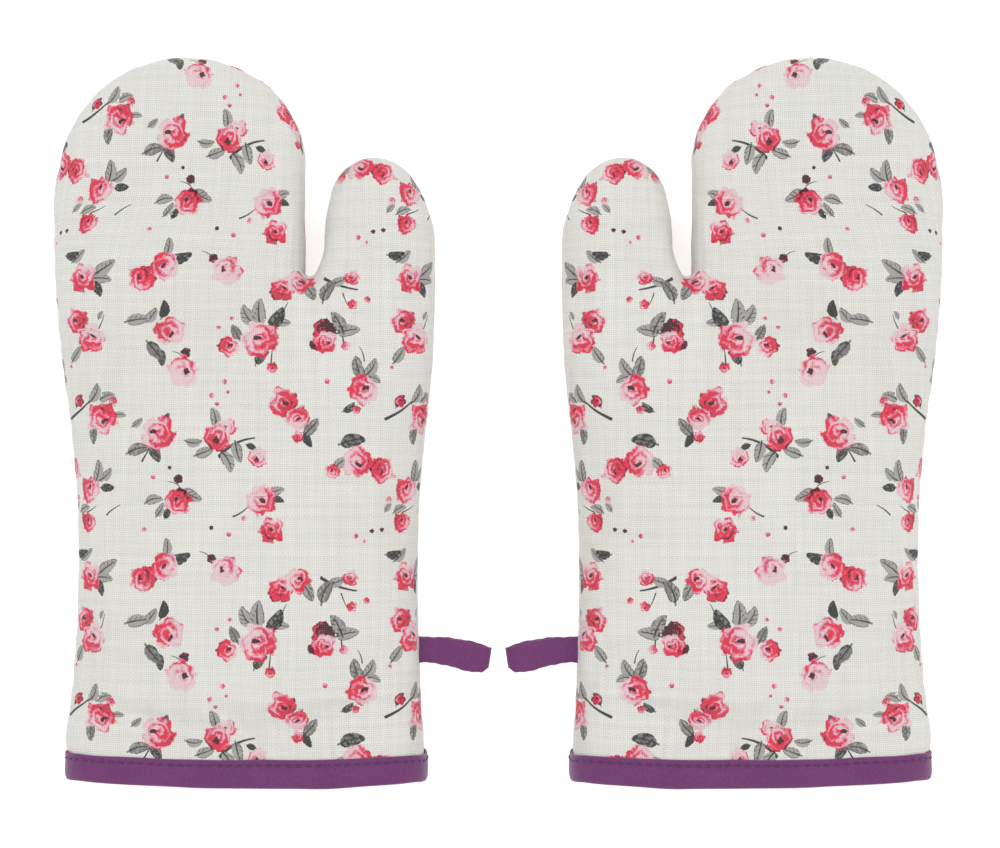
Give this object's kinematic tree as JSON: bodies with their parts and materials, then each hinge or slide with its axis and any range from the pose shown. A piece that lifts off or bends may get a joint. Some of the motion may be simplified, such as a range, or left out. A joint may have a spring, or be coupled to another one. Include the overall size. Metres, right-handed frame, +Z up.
{
  "type": "pair of oven mitts",
  "caption": "Pair of padded cotton oven mitts with a rose print, tape-bound cuffs and side hanging loops; fingers and thumbs fold towards the palm.",
  "frame": {"origin": "on the table, halfway between the two mitts and halfway along their length", "axes": "+X from the left mitt to the right one, +Y from the cuffs to the fingertips, +Z up from the table, out of the palm sides"},
  "size_m": [0.3998, 0.326, 0.049],
  "materials": {
    "printed_cotton": "off-white plain weave cotton printed with roses",
    "wadding": "white fluffy felted wadding",
    "lining_cotton": "plain off-white cotton, quilted in diamonds",
    "binding_tape": "purple twill bias tape",
    "stitching_thread": "dark purple sewing thread"
  },
  "bodies": {
    "left_palm": {"left_front_shell_palm": "printed_cotton", "left_back_shell_palm": "printed_cotton", "left_front_wadding_palm": "wadding", "left_back_wadding_palm": "wadding", "left_front_lining_palm": "lining_cotton", "left_back_lining_palm": "lining_cotton", "left_cuff_binding": "binding_tape", "left_binding_stitches": "stitching_thread"},
    "left_fingers": {"left_front_shell_fingers": "printed_cotton", "left_back_shell_fingers": "printed_cotton", "left_front_wadding_fingers": "wadding", "left_back_wadding_fingers": "wadding", "left_front_lining_fingers": "lining_cotton", "left_back_lining_fingers": "lining_cotton"},
    "left_thumb": {"left_front_shell_thumb": "printed_cotton", "left_back_shell_thumb": "printed_cotton", "left_front_wadding_thumb": "wadding", "left_back_wadding_thumb": "wadding", "left_front_lining_thumb": "lining_cotton", "left_back_lining_thumb": "lining_cotton"},
    "left_loop": {"left_hanging_loop": "binding_tape"},
    "right_palm": {"right_front_shell_palm": "printed_cotton", "right_back_shell_palm": "printed_cotton", "right_front_wadding_palm": "wadding", "right_back_wadding_palm": "wadding", "right_front_lining_palm": "lining_cotton", "right_back_lining_palm": "lining_cotton", "right_cuff_binding": "binding_tape", "right_binding_stitches": "stitching_thread"},
    "right_fingers": {"right_front_shell_fingers": "printed_cotton", "right_back_shell_fingers": "printed_cotton", "right_front_wadding_fingers": "wadding", "right_back_wadding_fingers": "wadding", "right_front_lining_fingers": "lining_cotton", "right_back_lining_fingers": "lining_cotton"},
    "right_thumb": {"right_front_shell_thumb": "printed_cotton", "right_back_shell_thumb": "printed_cotton", "right_front_wadding_thumb": "wadding", "right_back_wadding_thumb": "wadding", "right_front_lining_thumb": "lining_cotton", "right_back_lining_thumb": "lining_cotton"},
    "right_loop": {"right_hanging_loop": "binding_tape"}
  },
  "joints": [
    {"name": "left_fingers_fold", "type": "hinge", "parent": "left_palm", "child": "left_fingers", "pos_m": [-0.14365, 0.0925, 0.03838], "axis": [1, 0, 0], "range_deg": [0, 65]},
    {"name": "left_thumb_fold", "type": "hinge", "parent": "left_palm", "child": "left_thumb", "pos_m": [-0.05575, 0.06894, 0.0395], "axis": [0.9537, -0.3007, 0], "range_deg": [0, 55]},
    {"name": "left_loop_swing", "type": "hinge", "parent": "left_palm", "child": "left_loop", "pos_m": [-0.03397, -0.1035, 0.0231], "axis": [0, -1, 0], "range_deg": [-30, 75]},
    {"name": "right_fingers_fold", "type": "hinge", "parent": "right_palm", "child": "right_fingers", "pos_m": [0.14365, 0.0925, 0.03838], "axis": [1, 0, 0], "range_deg": [0, 65]},
    {"name": "right_thumb_fold", "type": "hinge", "parent": "right_palm", "child": "right_thumb", "pos_m": [0.05575, 0.06894, 0.0395], "axis": [0.9537, 0.3007, 0], "range_deg": [0, 55]},
    {"name": "right_loop_swing", "type": "hinge", "parent": "right_palm", "child": "right_loop", "pos_m": [0.03397, -0.1035, 0.0231], "axis": [0, 1, 0], "range_deg": [-30, 75]},
    {"name": "right_mitt_lift", "type": "slide", "parent": "left_palm", "child": "right_palm", "axis": [0, 0, 1], "range_m": [0, 0.12]}
  ]
}
